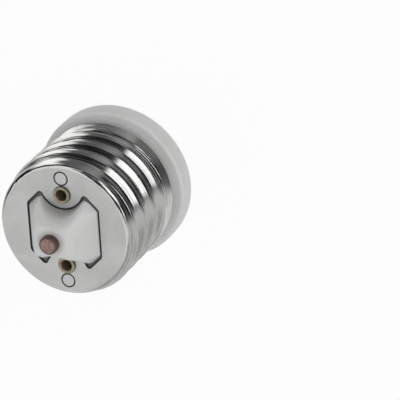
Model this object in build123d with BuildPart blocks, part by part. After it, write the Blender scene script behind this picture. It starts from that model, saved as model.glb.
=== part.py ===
"""Lamp socket adapter: a porcelain body with an E40 screw cap outside and an E27 socket inside.

Millimetres. The adapter stands on its collar: the origin is the middle of the collar's front face,
+Z runs along the axis to the cap's centre contact, and the two rivets lie along Y.
"""

import os
from math import cos, pi, sin, sqrt

from build123d import *

# Socket shell, E27
socket_thread_d = 26.6
socket_thread_depth = 1.1
socket_pitch = 3.629
socket_sheet = 0.4
socket_recess = 4.0
socket_lip = 1.0
socket_plain = 5.1
socket_corner = 0.6

# Cap shell, E40: its 39.5 mm over the crests follows from the socket, the gap and the walls between
cap_thread_depth = 1.775
cap_pitch = 6.35
cap_sheet = 0.45
cap_height = 27.7
cap_skirt = 2.0
cap_flare = 0.5
cap_corner = 1.5
cap_crest_drop = 2.9

# Porcelain
socket_gap = 1.8
core_wall = 1.8
core_edge = 0.3
core_floor = 10.85
collar_d = 42.8
collar_height = 6.5
collar_front_round = 1.3
collar_back_round = 1.0
mouth_round = 0.6
neck_height = 2.8
face_rim = 1.7
face_sink = 0.3
peg_d = 3.8
peg_edge = 0.35
boss_height = 8.7
boss_top = 8.8
boss_top_length = 13.0
boss_top_corner = 1.2
boss_flare = 1.75
boss_round = 1.0
pocket_depth = 2.3
pocket_bar = 2.4
pocket_margin = 1.2
recess_depth = 2.1
recess_edge = 0.6
blind_hole_d = 4.2
blind_hole_depth = 1.2

# Rivets between the two shells
rivet_d = 3.5
rivet_bore = 2.7
rivet_cap_flange_d = 4.9
rivet_cap_flange = 0.55
rivet_cap_edge = 0.2
rivet_curl = 0.45
rivet_socket_flange_d = 3.8
rivet_socket_flange = 0.3
segment_land = 2.05

# Window in the cap's floor
window = 20.9
window_drop = 1.1
window_round = 1.5
window_tip = 0.95
window_land = 1.35

# Centre contact
contact_d = 5.0
contact_height = 2.0
contact_bevel = 0.25
contact_shank_d = 3.0
contact_clench = 5.2
contact_dome = 1.3
cup_d = 5.8
cup_flare = 0.45
cup_height = 4.7
cup_sheet = 0.4

# Room between pieces
cap_clear = 0.225
hole_clear = 0.1
peg_clear = 0.18
boss_clear = 0.4
boss_corner_clear = 0.8
seat_clear = 0.1
clench_clear = 0.05

# Radii, from the socket's thread outwards
socket_mean_r = socket_thread_d / 2 - socket_thread_depth / 2
socket_out_r = socket_mean_r + socket_sheet
bore_r = socket_thread_d / 2 + socket_sheet + socket_gap
core_r = bore_r + core_wall
cap_mean_r = core_r + cap_clear + cap_sheet + cap_thread_depth / 2
collar_r = collar_d / 2

# Heights, from the collar's front face upwards
cap_rim_z = collar_height + neck_height
cap_floor_z = cap_rim_z + cap_height
core_top_z = cap_floor_z - cap_sheet
socket_floor_z = core_top_z - core_floor
socket_face_z = socket_floor_z - socket_sheet
boss_top_z = cap_floor_z + boss_height
pocket_z = socket_floor_z + pocket_depth
recess_z = socket_floor_z + recess_depth

# Places across the floors
peg_y = core_r - core_edge - peg_edge - peg_d / 2
rivet_y = socket_mean_r - socket_corner - seat_clear - rivet_socket_flange_d / 2
rivet_hole_d = rivet_d + 2 * hole_clear
peg_hole_d = peg_d + 2 * peg_clear
bite_y = (peg_y + rivet_y) / 2
bite_r = (peg_y - rivet_y) / 2 + rivet_cap_flange_d / 2 + window_land
window_diagonal = sqrt(bite_r**2 - window_drop**2) + bite_y - window_drop
band = 2 * (rivet_y - rivet_socket_flange_d / 2 - segment_land)
pocket_length = band - 2 * pocket_margin
pocket_width = cup_d + 2 * boss_clear
recess_start = pocket_width / 2 + pocket_bar
recess_r = bore_r - recess_edge
contact_clench_d = cup_d - 2 * (cup_flare + cup_sheet + clench_clear)


def ease(share):
    """Smooth step from 0 to 1."""
    share = min(max(share, 0), 1)
    return share * share * (3 - 2 * share)


def thread_points(depth, pitch, low, high, run_out, crest_z):
    """Centres of the round wall at each height: a helix that leaves the axis and returns to it.

    A circle moved along it, without turning, is a rolled thread with a rounded crest and root.
    The crest faces +X at the height crest_z.
    """
    steps = round(12 * (high - low) / pitch)
    points = []
    for step in range(steps + 1):
        z = low + (high - low) * step / steps
        swing = depth / 2 * ease((z - low) / run_out) * ease((high - z) / run_out)
        turn = 2 * pi * (z - crest_z) / pitch
        points.append((swing * cos(turn), swing * sin(turn), z))
    return points


def six_sided(half, diagonal):
    """Two straight sides at X = half, and sides at 45 degrees that meet on Y at the diagonal."""
    points = [(half, diagonal - half), (0, diagonal), (-half, diagonal - half)]
    Polygon(*points, *[(-x, -y) for x, y in points], align=None)


# Porcelain body: collar, neck and core turned in one, bored for the socket
with BuildPart() as porcelain_body:
    with BuildSketch(Plane.XZ):
        with BuildLine():
            Polyline(
                (0, socket_floor_z),
                (bore_r, socket_floor_z),
                (bore_r, face_sink),
                (collar_r - collar_front_round - face_rim, face_sink),
                (collar_r - collar_front_round - face_rim, 0),
                (collar_r, 0),
                (collar_r, collar_height),
                (core_r, collar_height),
                (core_r, core_top_z),
                (0, core_top_z),
                close=True,
            )
        make_face()
    revolve(axis=Axis.Z)
    collar_edges = edges().filter_by(lambda e: e.geom_type == GeomType.CIRCLE and e.radius > core_r)
    fillet(collar_edges.filter_by(lambda e: abs(e.radius - collar_r) < 1e-6).sort_by(Axis.Z)[0],
           collar_front_round)
    collar_edges = edges().filter_by(lambda e: e.geom_type == GeomType.CIRCLE)
    fillet(collar_edges.filter_by(lambda e: abs(e.radius - collar_r) < 1e-6).sort_by(Axis.Z)[-1],
           collar_back_round)
    rims = edges().filter_by(lambda e: e.geom_type == GeomType.CIRCLE)
    fillet(rims.filter_by(lambda e: abs(e.radius - bore_r) < 1e-6).sort_by(Axis.Z)[0], mouth_round)
    rims = edges().filter_by(lambda e: e.geom_type == GeomType.CIRCLE)
    fillet(rims.filter_by(lambda e: abs(e.radius - core_r) < 1e-6).sort_by(Axis.Z)[-1], core_edge)

    # Boss that carries the centre contact out through the cap's window
    with BuildSketch(Plane.XY.offset(core_top_z)):
        six_sided(window / 2 - boss_clear, window_diagonal - boss_corner_clear * sqrt(2))
    with BuildSketch(Plane.XY.offset(boss_top_z)):
        six_sided(boss_top / 2, boss_top / 2 + boss_top_length / 2 - boss_top_corner)
    loft()
    fillet(edges().filter_by(lambda e: e.center().Z > core_top_z + boss_round), boss_round)
    for side in (1, -1):
        with BuildSketch(Plane.XY.offset(core_top_z)):
            with Locations((0, side * bite_y)):
                Circle(bite_r + boss_clear)
        with BuildSketch(Plane.XY.offset(boss_top_z)):
            with Locations((0, side * bite_y)):
                Circle(bite_r + boss_clear + boss_flare)
        loft(mode=Mode.SUBTRACT)

    # Pegs that stand in the cap's floor
    with BuildSketch(Plane.XY.offset(core_top_z)):
        with Locations((0, peg_y), (0, -peg_y)):
            Circle(peg_d / 2)
    extrude(amount=cap_sheet)

    # Way through for the rivets and for the contact
    with BuildSketch(Plane.XY.offset(socket_floor_z)):
        with Locations((0, rivet_y), (0, -rivet_y)):
            Circle(rivet_hole_d / 2)
        Circle(contact_shank_d / 2 + hole_clear)
    extrude(amount=boss_top_z - socket_floor_z, mode=Mode.SUBTRACT)

    # Socket floor: contact pocket, and a recess beyond a bar on each side of it
    with BuildSketch(Plane.XY.offset(socket_floor_z)):
        Rectangle(pocket_width, pocket_length)
    extrude(amount=pocket_depth, mode=Mode.SUBTRACT)
    with BuildSketch(Plane.XY.offset(socket_floor_z)):
        Rectangle(2 * recess_r, pocket_length)
        Circle(recess_r, mode=Mode.INTERSECT)
        Rectangle(2 * recess_start, pocket_length, mode=Mode.SUBTRACT)
    extrude(amount=recess_depth, mode=Mode.SUBTRACT)
    blind_x = (recess_start + recess_r) / 2
    with BuildSketch(Plane.XY.offset(recess_z)):
        with Locations((blind_x, 0), (-blind_x, 0)):
            Circle(blind_hole_d / 2)
    extrude(amount=blind_hole_depth, mode=Mode.SUBTRACT)

# Cap shell: rolled wall, flared skirt and drawn floor of one sheet
cap_thread_low = cap_rim_z + cap_skirt
cap_thread_high = cap_floor_z - cap_corner
cap_crest_z = cap_floor_z - cap_crest_drop
with BuildPart() as outer_shell:
    with BuildLine() as cap_helix:
        Spline(*thread_points(cap_thread_depth, cap_pitch, cap_thread_low, cap_thread_high,
                              cap_skirt, cap_crest_z))
    with BuildSketch(Plane.XY.offset(cap_thread_low)):
        Circle(cap_mean_r)
        Circle(cap_mean_r - cap_sheet, mode=Mode.SUBTRACT)
    sweep(path=cap_helix.wire(), normal=(0, 0, 1))
    with BuildSketch(Plane.XZ):
        Polygon(
            (cap_mean_r, cap_thread_low),
            (cap_mean_r + cap_flare, cap_rim_z),
            (cap_mean_r + cap_flare - cap_sheet, cap_rim_z),
            (cap_mean_r - cap_sheet, cap_thread_low),
            align=None,
        )
    revolve(axis=Axis.Z)
    with BuildSketch(Plane.XZ):
        with BuildLine():
            Line((0, cap_floor_z), (cap_mean_r - cap_corner, cap_floor_z))
            RadiusArc((cap_mean_r - cap_corner, cap_floor_z), (cap_mean_r, cap_thread_high), cap_corner)
            Line((cap_mean_r, cap_thread_high), (cap_mean_r - cap_sheet, cap_thread_high))
            RadiusArc((cap_mean_r - cap_sheet, cap_thread_high), (cap_mean_r - cap_corner, core_top_z),
                      -(cap_corner - cap_sheet))
            Line((cap_mean_r - cap_corner, core_top_z), (0, core_top_z))
            Line((0, core_top_z), (0, cap_floor_z))
        make_face()
    revolve(axis=Axis.Z)
    with BuildSketch(Plane.XY.offset(core_top_z)) as cap_window:
        six_sided(window / 2, window_diagonal)
        with Locations((0, bite_y), (0, -bite_y)):
            Circle(bite_r, mode=Mode.SUBTRACT)
        fillet(vertices().filter_by(lambda v: abs(abs(v.X) - window / 2) < 1e-6), window_round)
        fillet(vertices().sort_by(lambda v: abs(v.Y))[-4:], window_tip)
    extrude(amount=cap_sheet, mode=Mode.SUBTRACT)
    with BuildSketch(Plane.XY.offset(core_top_z)):
        with Locations((0, rivet_y), (0, -rivet_y)):
            Circle(rivet_hole_d / 2)
        with Locations((0, peg_y), (0, -peg_y)):
            Circle(peg_hole_d / 2)
    extrude(amount=cap_sheet, mode=Mode.SUBTRACT)

# Socket shell: the same form the other way up, its floor cut to two segments on the rivets
socket_thread_low = socket_recess + socket_lip
socket_thread_high = socket_floor_z - socket_plain
socket_bend = socket_corner + socket_sheet
with BuildPart() as inner_shell:
    with BuildLine() as socket_helix:
        Spline(*thread_points(socket_thread_depth, socket_pitch, socket_thread_low, socket_thread_high,
                              socket_lip, socket_thread_low))
    with BuildSketch(Plane.XY.offset(socket_thread_low)):
        Circle(socket_out_r)
        Circle(socket_mean_r, mode=Mode.SUBTRACT)
    sweep(path=socket_helix.wire(), normal=(0, 0, 1))
    with BuildSketch(Plane.XY.offset(socket_recess)):
        Circle(socket_out_r)
        Circle(socket_mean_r, mode=Mode.SUBTRACT)
    extrude(amount=socket_lip)
    with BuildSketch(Plane.XZ):
        with BuildLine():
            Line((0, socket_floor_z), (socket_out_r - socket_bend, socket_floor_z))
            RadiusArc((socket_out_r - socket_bend, socket_floor_z),
                      (socket_out_r, socket_floor_z - socket_bend), socket_bend)
            Line((socket_out_r, socket_floor_z - socket_bend), (socket_out_r, socket_thread_high))
            Line((socket_out_r, socket_thread_high), (socket_mean_r, socket_thread_high))
            Line((socket_mean_r, socket_thread_high), (socket_mean_r, socket_floor_z - socket_bend))
            RadiusArc((socket_mean_r, socket_floor_z - socket_bend),
                      (socket_out_r - socket_bend, socket_face_z), -socket_corner)
            Line((socket_out_r - socket_bend, socket_face_z), (0, socket_face_z))
            Line((0, socket_face_z), (0, socket_floor_z))
        make_face()
    revolve(axis=Axis.Z)
    with BuildSketch(Plane.XY.offset(socket_thread_high)):
        Rectangle(2 * socket_out_r + 2, band)
    extrude(amount=socket_plain, mode=Mode.SUBTRACT)
    with BuildSketch(Plane.XY.offset(socket_face_z)):
        with Locations((0, rivet_y), (0, -rivet_y)):
            Circle(rivet_hole_d / 2)
    extrude(amount=socket_sheet, mode=Mode.SUBTRACT)

# Centre contact: one copper rivet from the boss to the socket
clench_z = pocket_z - cup_sheet
with BuildPart() as centre_contact:
    with BuildSketch(Plane.XY.offset(boss_top_z)):
        Circle(contact_d / 2)
    extrude(amount=contact_height)
    chamfer(faces().sort_by(Axis.Z)[-1].edges(), contact_bevel)
    with BuildSketch(Plane.XY.offset(clench_z)):
        Circle(contact_shank_d / 2)
    extrude(amount=boss_top_z - clench_z)
    with BuildSketch(Plane.XY.offset(clench_z)):
        Circle(contact_clench_d / 2)
    extrude(amount=-contact_clench)
    fillet(faces().sort_by(Axis.Z)[0].edges(), contact_dome)

# Flared cup that the contact's clenched end stands in
with BuildPart() as contact_cup:
    with BuildSketch(Plane.XZ):
        with BuildLine():
            Polyline(
                (contact_shank_d / 2 + hole_clear, pocket_z),
                (cup_d / 2 - cup_flare, pocket_z),
                (cup_d / 2 - cup_flare, pocket_z - cup_height / 2),
                (cup_d / 2, pocket_z - cup_height),
                (cup_d / 2 - cup_sheet, pocket_z - cup_height),
                (cup_d / 2 - cup_flare - cup_sheet, pocket_z - cup_height / 2),
                (cup_d / 2 - cup_flare - cup_sheet, pocket_z - cup_sheet),
                (contact_shank_d / 2 + hole_clear, pocket_z - cup_sheet),
                close=True,
            )
        make_face()
    revolve(axis=Axis.Z)

pieces = {
    "porcelain_body": porcelain_body,
    "outer_shell": outer_shell,
    "inner_shell": inner_shell,
    "centre_contact": centre_contact,
    "contact_cup": contact_cup,
}

# Tubular rivets, each through both shells and the core
for number, side in enumerate((1, -1), start=1):
    with BuildPart() as rivet:
        with BuildSketch(Plane.YZ):
            with BuildLine():
                Polyline(
                    (side * rivet_y + rivet_bore / 2, socket_face_z - rivet_socket_flange),
                    (side * rivet_y + rivet_socket_flange_d / 2, socket_face_z - rivet_socket_flange),
                    (side * rivet_y + rivet_socket_flange_d / 2, socket_face_z),
                    (side * rivet_y + rivet_d / 2, socket_face_z),
                    (side * rivet_y + rivet_d / 2, cap_floor_z),
                    (side * rivet_y + rivet_cap_flange_d / 2, cap_floor_z),
                    (side * rivet_y + rivet_cap_flange_d / 2, cap_floor_z + rivet_cap_flange),
                    (side * rivet_y + rivet_bore / 2, cap_floor_z + rivet_cap_flange),
                    close=True,
                )
            make_face()
        revolve(axis=Axis((0, side * rivet_y, 0), (0, 0, 1)))
        flange_edges = faces().sort_by(Axis.Z)[-1].edges().sort_by(SortBy.RADIUS)
        fillet(flange_edges[0], rivet_curl)
        flange_edges = faces().sort_by(Axis.Z)[-1].edges().sort_by(SortBy.RADIUS)
        fillet(flange_edges[-1], rivet_cap_edge)
    pieces[f"rivet_{number}"] = rivet

os.makedirs("parts", exist_ok=True)
for name, piece in pieces.items():
    piece.part.label = name
    export_step(piece.part, f"parts/{name}.step")
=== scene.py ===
"""Looks of the lamp socket adapter: porcelain, nickel shells, brass rivets and copper contact."""

from math import ceil, cos, pi, radians, sin, sqrt

import bmesh
import bpy
import numpy as np
from mathutils import Matrix, Vector
from mathutils.geometry import delaunay_2d_cdt


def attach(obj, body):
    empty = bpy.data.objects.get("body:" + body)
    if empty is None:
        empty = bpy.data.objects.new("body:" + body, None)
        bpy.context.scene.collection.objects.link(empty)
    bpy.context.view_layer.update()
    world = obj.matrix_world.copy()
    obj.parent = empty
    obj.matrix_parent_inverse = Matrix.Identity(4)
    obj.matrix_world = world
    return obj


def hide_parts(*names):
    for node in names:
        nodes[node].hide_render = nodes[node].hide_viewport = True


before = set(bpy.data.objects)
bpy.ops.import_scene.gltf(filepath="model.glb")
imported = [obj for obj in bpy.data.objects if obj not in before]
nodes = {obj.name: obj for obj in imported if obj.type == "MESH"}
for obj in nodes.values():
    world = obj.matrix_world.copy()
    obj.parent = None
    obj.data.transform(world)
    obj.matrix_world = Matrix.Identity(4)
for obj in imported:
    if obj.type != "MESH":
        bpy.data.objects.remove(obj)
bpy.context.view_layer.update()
scene = bpy.context.scene
scene.view_settings.view_transform = "Standard"
MM = 0.001

# The soft boss, in mm: its foot and top, its two round bites, its sides, its slanted corners as |x| + |y|,
# the ends of its four ears, the bore for the contact, and half of the square that it stands in
core_top, boss_top_z = 36.55, 45.70
bite_y, bite_low, bite_flare = 12.45, 6.50, 1.75
side_low, side_high = 10.05, 5.20
cut_low, cut_high = 16.22, 10.70
ear_low, ear_lean = 9.25, 0.45
hole_r, bore_reach = 1.60, 1.70
boss_half = 11.5
# How far its faces melt into each other, in mm, and how steep the field is at a bite's wall
soft_side, soft_side_up = 0.4, 2.4
soft_top, soft_ear = 1.7, 0.9
soft_bite, soft_bite_out = 1.7, 0.8
bite_slope = 0.97
# The spacing of its mesh, in mm
ring_step, ring_reach, ring_pitch = 0.13, 3.7, 0.36
grid_pitch, grid_row, grid_rows, grid_columns = 0.38, 0.87, 32, 28
grid_clear, ear_clear, foot_clear = 0.2, 0.15, 0.04
bore_sides = 40

# Round the boss, in mm: the pegs, the rivets and the cap's window
peg_y, rivet_y = 14.75, 10.15
window_half, window_cut, window_bite = 10.45, 17.35, 6.10
diagonal = 0.7071


def smooth(value, low, high):
    """0 below low, 1 above high, and a smooth step between."""
    share = np.clip((value - low) / (high - low), 0.0, 1.0)
    return share * share * (3.0 - 2.0 * share)


def strip(value, low, high, soft):
    """1 between low and high, 0 beyond, with both borders soft."""
    return smooth(value, low - soft, low + soft) - smooth(value, high - soft, high + soft)


# Materials

class Shader:
    """A node tree, built by short calls: each call adds one node and returns an output."""

    def __init__(self, block):
        self.block = block
        self.block.use_nodes = True
        self.tree = self.block.node_tree
        self.bsdf = self.tree.nodes.get("Principled BSDF")

    def feed(self, socket, value):
        if isinstance(value, bpy.types.NodeSocket):
            self.tree.links.new(value, socket)
        else:
            socket.default_value = value

    def add(self, kind, out=0, inputs=(), **settings):
        node = self.tree.nodes.new("ShaderNode" + kind)
        for key, value in settings.items():
            setattr(node, key, value)
        for key, value in dict(inputs).items():
            self.feed(node.inputs[key], value)
        return node.outputs[out]

    def math(self, operation, a, b=0.0, clamp=False):
        return self.add("Math", inputs={0: a, 1: b}, operation=operation, use_clamp=clamp)

    def plus(self, a, b):
        return self.math("ADD", a, b)

    def minus(self, a, b):
        return self.math("SUBTRACT", a, b)

    def times(self, a, b):
        return self.math("MULTIPLY", a, b)

    def most(self, a, b):
        return self.math("MAXIMUM", a, b)

    def place(self):
        return self.add("TexCoord", out="Object")

    def parts(self, vector):
        return [self.add("SeparateXYZ", out=i, inputs={0: vector}) for i in range(3)]

    def noise(self, scale, vector=None, detail=2.0, rough=0.5, warp=0.0):
        where = self.place() if vector is None else vector
        return self.add("TexNoise", inputs={
            "Vector": where, "Scale": scale, "Detail": detail, "Roughness": rough, "Distortion": warp})

    def span(self, value, low, high, to_low=0.0, to_high=1.0):
        """From to_low at low to to_high at high, with a smooth step between."""
        return self.add("MapRange", inputs={
            "Value": value, "From Min": low, "From Max": high, "To Min": to_low, "To Max": to_high},
            interpolation_type="SMOOTHSTEP")

    def span_mm(self, length, low, high, to_low=0.0, to_high=1.0):
        """The same for a length, with low and high in mm."""
        return self.span(length, low * MM, high * MM, to_low, to_high)

    def pick(self, factor, a, b):
        return self.add("Mix", inputs={"Factor": factor, 2: a, 3: b})

    def blend(self, factor, a, b):
        return self.add("Mix", out=2, inputs={"Factor": factor, 6: a, 7: b}, data_type="RGBA")

    def mix(self, factor, a, b):
        """One of two surfaces."""
        return self.add("MixShader", inputs={0: factor, 1: a, 2: b})

    def shelter(self, reach):
        """1 in the open, towards 0 in corners and gaps."""
        return self.add("AmbientOcclusion", out="AO", inputs={"Distance": reach},
                        samples=8, only_local=True)

    def from_pair(self, away):
        """Distance from the nearer of two axes, which stand along Y on both sides of the middle."""
        x, y, _ = self.parts(self.place())
        off = self.minus(self.math("ABSOLUTE", y), away)
        return self.math("SQRT", self.plus(self.times(x, x), self.times(off, off)))

    def facing_up(self):
        """1 on surfaces square to the axis, 0 on walls."""
        return self.math("ABSOLUTE", self.parts(self.add("NewGeometry", out="Normal"))[2])

    def round_about(self, turns, fine):
        """Coordinates that change slowly round the axis and fast across it, for drawn metal."""
        x, y, z = self.parts(self.place())
        flat = self.add("CombineXYZ", inputs={0: x, 1: y})
        radius = self.add("VectorMath", out="Value", inputs={0: flat}, operation="LENGTH")
        fx, fy, _ = self.parts(self.add("VectorMath", inputs={0: flat}, operation="NORMALIZE"))
        return self.add("CombineXYZ", inputs={
            0: self.times(fx, turns), 1: self.times(fy, turns), 2: self.times(self.plus(z, radius), fine)})

    def along_thread(self, pitch, crest, ripples, turns=0.5, climb=35.0):
        """Coordinates that follow the rolled thread, for the ripples the rolls leave."""
        x, y, z = self.parts(self.place())
        fx, fy, _ = self.parts(self.add("VectorMath", inputs={
            0: self.add("CombineXYZ", inputs={0: x, 1: y})}, operation="NORMALIZE"))
        turn = self.times(self.minus(z, crest), 2 * pi / pitch)
        c, s = self.math("COSINE", turn), self.math("SINE", turn)
        level = self.plus(self.times(c, fx), self.times(s, fy))
        slope = self.minus(self.times(s, fx), self.times(c, fy))
        slow = self.plus(self.times(fx, turns), self.times(z, climb))
        return self.add("CombineXYZ", inputs={
            0: self.times(level, ripples), 1: self.times(slope, ripples),
            2: self.plus(slow, self.times(fy, turns))})

    def bump(self, height, distance, strength=1.0):
        self.feed(self.bsdf.inputs["Normal"], self.add("Bump", inputs={
            "Height": height, "Distance": distance, "Strength": strength}))

    def set(self, **values):
        for key, value in values.items():
            self.feed(self.bsdf.inputs[key.replace("_", " ")], value)
        return self.block

    def show(self, surface):
        """Puts a surface in the place of the tree's own shader."""
        output = next(n for n in self.tree.nodes if n.type.startswith("OUTPUT")).inputs["Surface"]
        self.tree.nodes.remove(output.links[0].from_node)
        self.tree.links.new(surface, output)
        return self.block


def material(name):
    return Shader(bpy.data.materials.new(name))


def grey(value, warm=0.0):
    return (value * (1 + warm), value, value * (1 - warm), 1.0)


def shade(colour, factor):
    return tuple(c * factor for c in colour[:3]) + (1.0,)


def porcelain():
    """Pale, clouded and specked, with painted shade at the boss's foot, in corners and round the contact,
    and dark joints with painted shade in the gaps to the cap's sheet.
    """
    pale, paler, fleck = grey(0.640, 0.010), grey(0.680, 0.004), (0.36, 0.32, 0.28, 1.0)
    foot_shade, corner, joint_and_shade = (0.16, 0.15, 0.14, 1.0), (0.10, 0.095, 0.09, 1.0), (0.022, 0.020, 0.018, 1.0)
    contact_shadow_tone, rubbed = (0.30, 0.27, 0.25, 1.0), (0.30, 0.29, 0.28, 1.0)

    s = material("porcelain")
    cloud = s.noise(90.0, detail=3.0)
    speck = s.add("TexVoronoi", inputs={"Vector": s.place(), "Scale": 420.0}, out="Distance")
    body = s.blend(s.span(cloud, 0.35, 0.65), pale, paler)
    body = s.blend(s.span(speck, 0.05, 0.11, 0.25, 0.0), body, fleck)

    x, y, z = s.parts(s.place())
    across, along = s.math("ABSOLUTE", x), s.math("ABSOLUTE", y)
    bite, peg, middle = s.from_pair(bite_y * MM), s.from_pair(peg_y * MM), s.from_pair(0.0)
    on_top = s.span_mm(z, 35.8, 36.0)
    off_pegs = s.span_mm(bite, 5.8, 6.0)

    # Painted shade at the boss's foot, in the bites and all round
    bite_shade = s.times(off_pegs, s.span_mm(bite, 6.5, 7.6, 0.62, 0.0))
    body = s.blend(s.times(on_top, bite_shade), body, foot_shade)
    # painted shade along the boss's low rim, just above the core
    low = s.times(off_pegs, s.span_mm(z, 36.62, 36.95, 1.0, 0.0))
    body = s.blend(s.times(on_top, low), body, corner)

    # A painted shadow of the contact round it on the boss's top, and the pegs' rubbed ends
    contact_shadow = s.times(s.span_mm(middle, 2.4, 4.4, 0.5, 0.0), s.span_mm(z, 43.0, 44.0))
    body = s.blend(contact_shadow, body, contact_shadow_tone)
    body = s.blend(s.times(on_top, s.span_mm(peg, 1.70, 1.90, 0.30, 0.0)), body, rubbed)

    # The gaps along the window's edge and round the pegs: dark joints, widened by painted shade on the
    # boss's foot beside them
    straight = s.minus(across, window_half * MM)
    slanted = s.minus(s.plus(across, along), window_cut * MM)
    beyond = s.most(straight, s.times(slanted, diagonal))
    beyond = s.most(beyond, s.minus(window_bite * MM, bite))
    gap = s.times(s.span_mm(beyond, -0.72, -0.46), s.span_mm(z, 36.82, 37.30, 1.0, 0.0))
    gap = s.times(gap, off_pegs)
    ring = s.times(s.span_mm(peg, 1.60, 1.72), s.span_mm(peg, 2.2, 2.4, 1.0, 0.0))
    body = s.blend(s.times(on_top, s.most(gap, ring)), body, joint_and_shade)
    # painted shade in corners and gaps, where the surface is sheltered
    colour = s.blend(s.span(s.shelter(1.2 * MM), 0.22, 0.62), corner, body)

    peel = s.noise(700.0, detail=3.0, rough=0.55)
    swell = s.noise(160.0, detail=1.0)
    s.bump(s.plus(peel, s.times(swell, 3.0)), 0.06 * MM, 0.5)
    return s.set(Base_Color=colour, Roughness=s.span(cloud, 0.3, 0.7, 0.38, 0.50),
                 Specular_IOR_Level=0.4, Coat_Weight=0.1, Coat_Roughness=0.3)


def nickel(name, tone, floor_tone, floor_rough, wall_rough, thread):
    """Plated sheet, drawn and rolled on its walls and grained on its floor; thread goes to along_thread."""
    corner_shade = (0.06, 0.055, 0.05, 1.0)
    s = material(name)
    flat = s.span(s.facing_up(), 0.955, 0.992)
    drawn = s.noise(1.0, s.round_about(1.6, 5200.0), detail=3.0, rough=0.6)
    rolled = s.noise(1.0, s.along_thread(*thread), detail=3.0, rough=0.55)
    grit = s.noise(5200.0, detail=2.0, rough=0.6)
    haze = s.noise(140.0, detail=4.0, rough=0.6, warp=0.4)
    rough_wall = s.plus(s.span(drawn, 0.3, 0.7, 0.0, 0.04),
                        s.span(haze, 0.35, 0.7, wall_rough, wall_rough + 0.04))
    rough_floor = s.plus(s.span(grit, 0.3, 0.7, 0.0, 0.08),
                         s.span(haze, 0.3, 0.7, floor_rough, floor_rough + 0.07))
    base = s.blend(flat, tone, floor_tone)
    base = s.blend(s.span(haze, 0.35, 0.7, 0.0, 0.35), base, shade(floor_tone, 0.85))
    # painted shade in corners and gaps, where the sheet is sheltered
    colour = s.blend(s.span(s.shelter(0.6 * MM), 0.15, 0.6), corner_shade, base)
    wall = s.plus(rolled, s.times(drawn, 0.03))
    s.bump(s.pick(flat, wall, s.times(grit, 0.04)), 0.30 * MM, 0.7)
    return s.set(Base_Color=colour, Metallic=1.0, Roughness=s.pick(flat, rough_wall, rough_floor))


def tarnished(s, bright, dull, rough):
    """Makes the surface an old metal with patches and scratches, and returns its colour."""
    patch = s.noise(420.0, detail=4.0, rough=0.65, warp=0.8)
    scratch = s.noise(1.0, s.add("Mapping", inputs={
        "Vector": s.place(), "Rotation": (0.0, 0.0, 0.6), "Scale": (900.0, 6500.0, 900.0)}), detail=2.0)
    s.bump(s.plus(patch, s.times(scratch, 0.4)), 0.04 * MM, 0.5)
    s.set(Metallic=0.85, Roughness=s.plus(s.span(patch, 0.3, 0.7, rough, rough + 0.15),
                                          s.span(scratch, 0.4, 0.7, 0.0, 0.08)))
    return s.blend(s.span(patch, 0.35, 0.68), bright, dull)


def copper():
    """The contact: brown on the boss, darker at its rim from tarnish and on its side walls from painted
    shade, and bright copper on the socket's side.
    """
    bright, dull, brown = (0.36, 0.24, 0.22, 1.0), (0.25, 0.165, 0.15, 1.0), (0.155, 0.11, 0.092, 1.0)
    clean = (0.66, 0.36, 0.25, 1.0)
    s = material("copper")
    face = tarnished(s, bright, dull, 0.42)
    # the rim is tarnish; the side walls are darkened by painted shade, picked by the way they face
    rim = s.span_mm(s.from_pair(0.0), 1.85, 2.10)
    edge = s.most(rim, s.span(s.facing_up(), 0.35, 0.8, 1.0, 0.0))
    tarnish_and_side_shade = s.blend(edge, face, brown)
    z = s.parts(s.place())[2]
    return s.set(Base_Color=s.blend(s.span_mm(z, 30.0, 40.0), clean, tarnish_and_side_shade))


def brass():
    """The rivets: pale on the rolled ring, dark at its edge with a painted shadow where it meets the sheet,
    brown towards the bore and ruddy inside it.
    """
    pale, dull = (0.42, 0.39, 0.30, 1.0), (0.30, 0.265, 0.19, 1.0)
    edge, brown, inside = (0.17, 0.15, 0.10, 1.0), (0.19, 0.135, 0.09, 1.0), (0.46, 0.35, 0.28, 1.0)
    s = material("rivet_brass")
    ring = tarnished(s, pale, dull, 0.42)
    radius = s.from_pair(rivet_y * MM)
    # painted shadow at the ring's outer edge, where it meets the sheet
    ring = s.blend(s.span_mm(radius, 2.25, 2.42), ring, edge)
    rolled = s.blend(s.span_mm(radius, 1.55, 1.85), brown, ring)
    return s.set(Base_Color=s.blend(s.span_mm(radius, 1.30, 1.42), inside, rolled))


def tin():
    s = material("cup_tin")
    return s.set(Base_Color=tarnished(s, grey(0.62, 0.01), grey(0.42, 0.02), 0.26))


# Porcelain: the CAD body with its contact boss softened, as fired porcelain is

def soft_max(a, b, reach):
    near = np.maximum(reach - np.abs(a - b), 0.0) / reach
    return np.maximum(a, b) + near * near * reach / 4.0


def bite_rise(share):
    """How far a bite widens, by the share of the boss's height."""
    return bite_flare * (0.65 * share + 0.35 * share**3)


def bite_distance(x, y):
    """Distance from the nearer bite's axis."""
    return np.hypot(x, np.abs(y) - bite_y)


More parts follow.
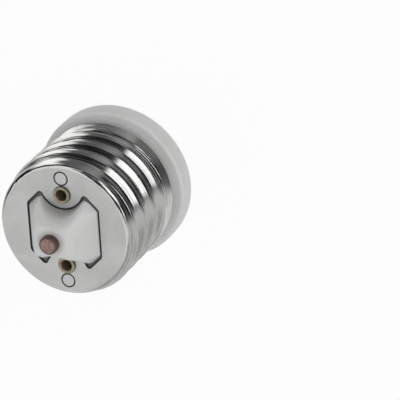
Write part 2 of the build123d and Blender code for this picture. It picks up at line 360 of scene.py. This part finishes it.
def boss_field(x, y, z):
    """Below 0 inside the boss, in mm."""
    rise = boss_top_z - core_top
    share = (z - core_top) / rise
    lean = (side_low - side_high) / rise
    cut = (cut_low - cut_high) / rise / sqrt(2.0)
    side = (np.abs(x) - side_low + lean * rise * share) / sqrt(1.0 + lean * lean)
    corner = ((np.abs(x) + np.abs(y) - cut_low) / sqrt(2.0) + cut * rise * share) / sqrt(1.0 + cut * cut)
    ear = (np.abs(y) - ear_low + ear_lean * rise * share) / sqrt(1.0 + ear_lean * ear_lean)
    up = np.clip(share, 0.0, 1.0)
    body = soft_max(soft_max(side, corner, soft_side + soft_side_up * up), z - boss_top_z, soft_top)
    body = soft_max(body, ear, soft_ear)
    bite = (bite_low + bite_rise(share) - bite_distance(x, y)) * bite_slope
    reach = soft_bite + soft_bite_out * smooth(np.hypot(x, y), 3.5, 7.5)
    return soft_max(body, bite, reach * (0.25 + 0.75 * smooth(up, 0.0, 0.6)))


def boss_height(x, y):
    """Where the field passes 0 above each point, found by halving."""
    low, high = np.full(x.shape, core_top - 2.0), np.full(x.shape, boss_top_z + 0.5)
    for _ in range(40):
        mid = (low + high) / 2.0
        inside = boss_field(x, y, mid) < 0.0
        low, high = np.where(inside, mid, low), np.where(inside, high, mid)
    return np.maximum((low + high) / 2.0, core_top)


def boss_normals(at, step=0.02, outside=0.05):
    """The field's slope at each point, and straight up where the core is bare."""
    x, y, z = at.T
    slope = [boss_field(x + i, y + j, z + k) - boss_field(x - i, y - j, z - k)
             for i, j, k in ((step, 0, 0), (0, step, 0), (0, 0, step))]
    slope = np.stack(slope, 1)
    slope[boss_field(x, y, z) > outside] = (0.0, 0.0, 1.0)
    return slope / np.linalg.norm(slope, axis=1)[:, None]


def within(x, y, outline):
    """Which points lie inside a closed outline."""
    hit = np.zeros(x.shape, bool)
    for (ax, ay), (bx, by) in zip(outline, outline[1:] + outline[:1]):
        if ay != by:
            hit ^= ((ay > y) != (by > y)) & (x < (bx - ax) * (y - ay) / (by - ay) + ax)
    return hit


def loop_of(edges):
    """The vertices of one closed run of edges, in order."""
    links = {}
    for edge in edges:
        a, b = edge.verts
        links.setdefault(a, []).append(b)
        links.setdefault(b, []).append(a)
    first = edges[0].verts[0]
    order, last, here = [first], None, first
    while True:
        step = [v for v in links[here] if v is not last][0]
        if step is first:
            return order
        order.append(step)
        last, here = here, step


def near_boss(at):
    return abs(at.x) < boss_half and abs(at.y) < boss_half


def in_bore(vert):
    return vert.co.xy.length < bore_reach * MM


def open_edges(bm):
    return [e for e in bm.edges if len(e.link_faces) == 1]


def cut_boss(bm, lift=0.002, slack=0.01):
    """Takes the boss's surface and its bore out of the CAD mesh. Returns the vertices of the foot's edge,
    in order, and the edges that the bore leaves in the socket's ceiling."""
    gone = []
    for face in bm.faces:
        highest = max(v.co.z for v in face.verts) / MM
        on_boss = highest > core_top + lift and near_boss(face.calc_center_median() / MM)
        if on_boss or all(in_bore(v) for v in face.verts):
            gone.append(face)
    bmesh.ops.delete(bm, geom=gone, context="FACES")
    left = open_edges(bm)
    foot = loop_of([e for e in left if all(
        near_boss(v.co / MM) and abs(v.co.z / MM - core_top) < slack for v in e.verts)])
    ceiling = [e for e in left if all(in_bore(v) and v.co.z / MM < core_top - 1.0 for v in e.verts)]
    return foot, ceiling


def boss_places(outline):
    """The points of the boss's mesh in its plan, in mm: rings round the bites, a grid between them and
    rows along the ears' ends, all clear of the foot's edge and the bore."""
    places = []
    widths = np.concatenate([bite_rise(np.linspace(0.04, 0.96, 24)),
                             np.arange(bite_flare, ring_reach, ring_step)])
    for ring, width in enumerate(widths):
        radius = bite_low + width
        count = ceil(2 * pi * radius / ring_pitch)
        for place in range(count):
            turn = 2 * pi * (place + 0.5 * (ring % 2)) / count
            places += [(radius * cos(turn), way * (bite_y + radius * sin(turn))) for way in (1, -1)]
    for row in range(-grid_rows, grid_rows + 1):
        for column in range(-grid_columns, grid_columns + 1):
            x, y = (column + 0.5 * (row % 2)) * grid_pitch, row * grid_pitch * grid_row
            if bite_distance(x, y) > bite_low + widths[-1] + grid_clear:
                places.append((x, y))
    for y in ear_low + np.arange(-0.75, 0.31, 0.15):
        for x in np.arange(4.2, 9.0, 0.2):
            if bite_distance(x, y) > bite_low + ear_clear:
                places += [(i * x, j * y) for i in (1, -1) for j in (1, -1)]
    places, edge = np.array(places), np.array(outline)
    room = within(*places.T, outline) & (np.hypot(*places.T) > hole_r + grid_clear)
    room &= np.array([np.min(np.hypot(*(edge - p).T)) > foot_clear for p in places])
    return [tuple(p) for p in places[room]]


def soft_body():
    """The porcelain with a soft boss. The rest of it keeps the CAD mesh and its normals."""
    source = nodes["porcelain_body"].data
    bm = bmesh.new()
    bm.from_mesh(source)
    kept = bm.loops.layers.float_vector.new("kept_normal")
    normals = source.corner_normals
    for face, polygon in zip(bm.faces, source.polygons):
        for loop, corner in zip(face.loops, polygon.loop_indices):
            loop[kept] = normals[corner].vector
    bmesh.ops.remove_doubles(bm, verts=bm.verts[:], dist=1e-6)
    foot, ceiling = cut_boss(bm)

    outline = [(v.co.x / MM, v.co.y / MM) for v in foot]
    ring = [2 * pi * i / bore_sides for i in range(bore_sides)]
    ring = [(hole_r * cos(turn), hole_r * sin(turn)) for turn in ring]
    points = outline + ring + boss_places(outline)
    n, m = len(outline), len(ring)
    limits = [(i, (i + 1) % n) for i in range(n)] + [(n + i, n + (i + 1) % m) for i in range(m)]
    flat, _, faces, origin, _, _ = delaunay_2d_cdt([Vector(p) for p in points], limits, [], 0, 1e-6)
    xy = np.array([tuple(p) for p in flat])
    height = boss_height(*xy.T)
    verts = []
    for index, came in enumerate(origin):
        from_foot = [i for i in came if i < n]
        if from_foot:
            verts.append(foot[from_foot[0]])
        else:
            z = boss_top_z if any(n <= i < n + m for i in came) else height[index]
            verts.append(bm.verts.new((xy[index, 0] * MM, xy[index, 1] * MM, z * MM)))
    middle = np.array([xy[list(f)].mean(0) for f in faces])
    solid = within(*middle.T, outline) & ~within(*middle.T, ring)
    normals = boss_normals(np.array([v.co / MM for v in verts]))
    for face, use in zip(faces, solid):
        if use:
            for loop, index in zip(bm.faces.new([verts[i] for i in face]).loops, face):
                loop[kept] = normals[index]
    top = [e for e in open_edges(bm) if min(v.co.z for v in e.verts) > (boss_top_z - 0.7) * MM]
    bmesh.ops.bridge_loops(bm, edges=top + ceiling)
    bmesh.ops.recalc_face_normals(bm, faces=bm.faces[:])

    mesh = bpy.data.meshes.new("porcelain_soft")
    bm.to_mesh(mesh)
    bm.free()
    mesh.shade_smooth()
    stored = np.zeros(len(mesh.loops) * 3)
    mesh.attributes["kept_normal"].data.foreach_get("vector", stored)
    mesh.normals_split_custom_set(stored.reshape(-1, 3).tolist())
    mesh.attributes.remove(mesh.attributes["kept_normal"])
    piece = bpy.data.objects.new("porcelain_soft", mesh)
    scene.collection.objects.link(piece)
    return piece


body = soft_body()
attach(body, "root")
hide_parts("porcelain_body")

looks = {
    "outer_shell": nickel("cap_nickel", grey(0.64, 0.012), grey(0.545, 0.008),
                          floor_rough=0.36, wall_rough=0.035, thread=(6.35 * MM, 34.1 * MM, 1.1)),
    "inner_shell": nickel("socket_nickel", (0.54, 0.55, 0.565, 1.0), (0.50, 0.51, 0.525, 1.0),
                          floor_rough=0.30, wall_rough=0.20, thread=(3.62 * MM, 0.0, 0.8)),
    "centre_contact": copper(),
    "contact_cup": tin(),
    "rivet_1": brass(),
}
looks["rivet_2"] = looks["rivet_1"]
for piece, look in [(body, porcelain())] + [(nodes[name], look) for name, look in looks.items()]:
    piece.data.materials.clear()
    piece.data.materials.append(look)


# Studio

WHITE = (1.0, 1.0, 1.0, 1.0)


def mesh_object(name, points, faces, look):
    mesh = bpy.data.meshes.new(name)
    mesh.from_pydata([tuple(p) for p in points], [], faces)
    mesh.materials.append(look)
    piece = bpy.data.objects.new(name, mesh)
    scene.collection.objects.link(piece)
    return piece


def seen_white(s, share):
    """Share of plain white for rays that see the background straight, in a mirror or through glass."""
    straight, mirror, glass = [s.add("LightPath", out=f"Is {ray} Ray")
                               for ray in ("Camera", "Glossy", "Transmission")]
    return s.times(s.most(s.most(straight, mirror), glass), share)


s = Shader(bpy.data.worlds.new("studio"))
ambient = s.add("Background", inputs={"Color": WHITE, "Strength": 0.50})
white = s.add("Background", inputs={"Color": WHITE, "Strength": 1.0})
scene.world = s.show(s.mix(seen_white(s, 1.0), ambient, white))

s = material("studio_floor")
diffuse = s.add("BsdfDiffuse", inputs={"Color": grey(0.86)})
glow = s.add("Emission", inputs={"Color": WHITE, "Strength": 1.0})
front = s.mix(seen_white(s, 0.93), diffuse, glow)
paper = s.show(s.mix(s.add("NewGeometry", out="Backfacing"), front, s.add("BsdfTransparent")))

# The floor has a round opening under the collar, so that the socket's end is lit when seen from below.
# A disc closes it to the camera only with a faint brown glow, painted shade that stands in for the dark
# socket seen through the rivets' bores.
s = material("studio_well")
dim = s.add("Emission", inputs={"Color": (0.032, 0.023, 0.018, 1.0)})
straight, behind = s.add("LightPath", out="Is Camera Ray"), s.add("NewGeometry", out="Backfacing")
well = s.show(s.mix(s.math("SUBTRACT", straight, behind, clamp=True), s.add("BsdfTransparent"), dim))

around = 180
well_r, floor_r, floor_z = 0.0208, 3.0, -0.00004
turns = [2 * pi * i / around for i in range(around)]
rings = [(r * cos(t), r * sin(t), floor_z) for r in (well_r, floor_r) for t in turns]
floor = [(i, around + i, around + (i + 1) % around, (i + 1) % around) for i in range(around)]
mesh_object("studio_floor_sheet", rings, floor, paper)
mesh_object("studio_floor_well", rings[:around], [tuple(range(around))], well)


# Screens that only reflections see: a disc above the floor, a wall and a dome

def screen_light(turn, rise):
    """How bright the screens are, by the direction in degrees seen from the adapter."""
    whole, fall = turn % 360, -rise
    # The key's side: dim below the horizon and bright above it
    key = 0.19 - 0.10 * strip(turn, 8, 30, 10)
    key = key * (1.0 - 0.80 * strip(rise, -18, 10, 5)) + 1.45 * smooth(rise, 8, 15) * strip(turn, 2, 58, 6)
    # Dark screens with a bright slit between them
    side = 0.15 + 0.20 * smooth(-turn, -94, -66)
    side = side + 0.16 * strip(rise, -47, -38, 4) - 0.06 * strip(rise, -34, -22, 4)
    side = side * (1.0 - 0.90 * smooth(rise, 4, 14))
    slit = 1.35 - 1.30 * smooth(rise, 2, 10) - 0.85 * smooth(fall, 62, 74)
    back, left = smooth(whole, 165, 185), smooth(whole, 182, 204)
    rear = 0.16 + 0.34 * smooth(fall, 12, 34) + 0.45 * smooth(fall, 34, 46) * back
    rear = rear - 0.70 * smooth(fall, 58, 74) * back - 0.15 * smooth(fall, 62, 74)
    rear = (rear + 0.45 * strip(rise, -30, 4, 6)) * (1.0 - 0.92 * smooth(rise, -8, 1) * (1.0 - left))
    rear = rear + 0.60 * smooth(rise, -8, 8) * left
    # A broad pale screen to the left
    wing = 0.66 + 0.45 * strip(fall, 34, 60, 8) * strip(whole, 200, 272, 10) - 0.40 * smooth(fall, 66, 80)
    wing = wing + 0.25 * smooth(rise, 6, 24) * strip(whole, 200, 256, 10)
    wing = wing - 0.20 * smooth(rise, -8, 4) * strip(whole, 262, 330, 8)
    wing = wing - 0.34 * strip(rise, -34, -25, 3) + 0.30 * strip(rise, -50, -40, 3)

    lean = 18.0 * smooth(fall, 46, 62) + 4.0 * sin(0.22 * rise)
    key_from, key_to, wing_from, wing_to = -4, 62, 222, 356
    slit_from, slit_to = 116 + lean, 146 + lean
    zones = ((key, key_from, key_to, 8), (side, key_to, slit_from, 5), (slit, slit_from, slit_to, 6),
             (rear, slit_to, wing_from, 6), (wing, wing_from, wing_to, 8))
    total = weight = 0.0
    for level, low, high, soft in zones:
        for shift in (0, 360):
            share = strip(turn + shift, low, high, soft)
            total, weight = total + level * share, weight + share
    level = max(total / max(weight, 1e-6), 0.012)
    # The dome: white, greyer at one side and with one dark patch
    sky = 1.0 - 0.45 * strip(turn, -120, -36, 12) * (1.0 - smooth(rise, 44, 56))
    sky = sky - 0.95 * strip(turn, -14, 104, 8) * strip(rise, 40, 83, 3)
    return level + (sky - level) * smooth(rise, 34, 38)


s = material("studio_screen")
glare = s.add("Attribute", out="Fac", attribute_name="level")
screen = s.show(s.add("Emission", inputs={"Strength": glare}))

disc_r, disc_z, disc_rows = 0.024, 0.0004, 40
wall_r, wall_low, wall_high, wall_rows = 0.34, 0.008, 0.26, 36
dome_r, dome_low, dome_high, dome_rows = 0.405, 37, 89, 36
from_r, from_z = 0.012, 0.023
profile = [(r, disc_z) for r in np.linspace(disc_r, wall_r, disc_rows)]
profile += [(wall_r, z) for z in np.linspace(wall_low, wall_high, wall_rows)]
profile += [(from_r + dome_r * cos(e), from_z + dome_r * sin(e))
            for e in np.radians(np.linspace(dome_low, dome_high, dome_rows))]
points, faces, levels = [], [], []
for step in range(around):
    turn = 360.0 * step / around - 180.0
    for r, z in profile:
        points.append((r * cos(radians(turn)), r * sin(radians(turn)), z))
        levels.append(float(screen_light(turn, np.degrees(np.arctan2(z - from_z, r - from_r)))))
count = len(profile)
for step in range(around):
    a, b = step * count, (step + 1) % around * count
    faces += [(a + i, a + i + 1, b + i + 1, b + i) for i in range(count - 1)]
sheet = mesh_object("studio_screens", points, faces, screen)
sheet.data.attributes.new("level", "FLOAT", "POINT").data.foreach_set("value", levels)
sheet.visible_camera = sheet.visible_diffuse = sheet.visible_shadow = sheet.visible_transmission = False


def lamp(name, turn, rise, distance, width, height, radiance, aim=(0.0, 0.0, 0.024)):
    """A soft lamp that reflections don't see, at a direction in degrees from the adapter."""
    data = bpy.data.lights.new(name, "AREA")
    data.shape = "RECTANGLE"
    data.size, data.size_y = width, height
    data.energy = radiance * pi * width * height
    piece = bpy.data.objects.new(name, data)
    scene.collection.objects.link(piece)
    t, e = radians(turn), radians(rise)
    away = Vector((cos(t) * cos(e), sin(t) * cos(e), sin(e)))
    piece.location = Vector(aim) + away * distance
    piece.rotation_euler = away.to_track_quat("Z", "Y").to_euler()
    piece.visible_glossy = False


lamp("key", turn=25, rise=50, distance=0.62, width=0.60, height=0.50, radiance=1.7)
lamp("fill", turn=215, rise=28, distance=0.62, width=0.50, height=0.40, radiance=0.9)
lamp("under", turn=60, rise=-65, distance=0.50, width=0.40, height=0.40, radiance=1.5)


# Camera: the picture is turned, because the photographed adapter lies with its cap to the lower left
eye = Vector((0.30511, 0.30854, 0.64872))
aim = Vector((0.03119, 0.00424, 0.018))
picture_up = Vector((-0.10965, 0.91303, -0.39288))
back = (eye - aim).normalized()
right = picture_up.cross(back).normalized()
data = bpy.data.cameras.new("camera")
data.lens = 255.2
data.sensor_width = 36.0
data.clip_start, data.clip_end = 0.01, 20.0
camera = bpy.data.objects.new("camera", data)
scene.collection.objects.link(camera)
turned = Matrix((right, back.cross(right), back)).transposed()
camera.matrix_world = Matrix.Translation(eye) @ turned.to_4x4()
scene.camera = camera
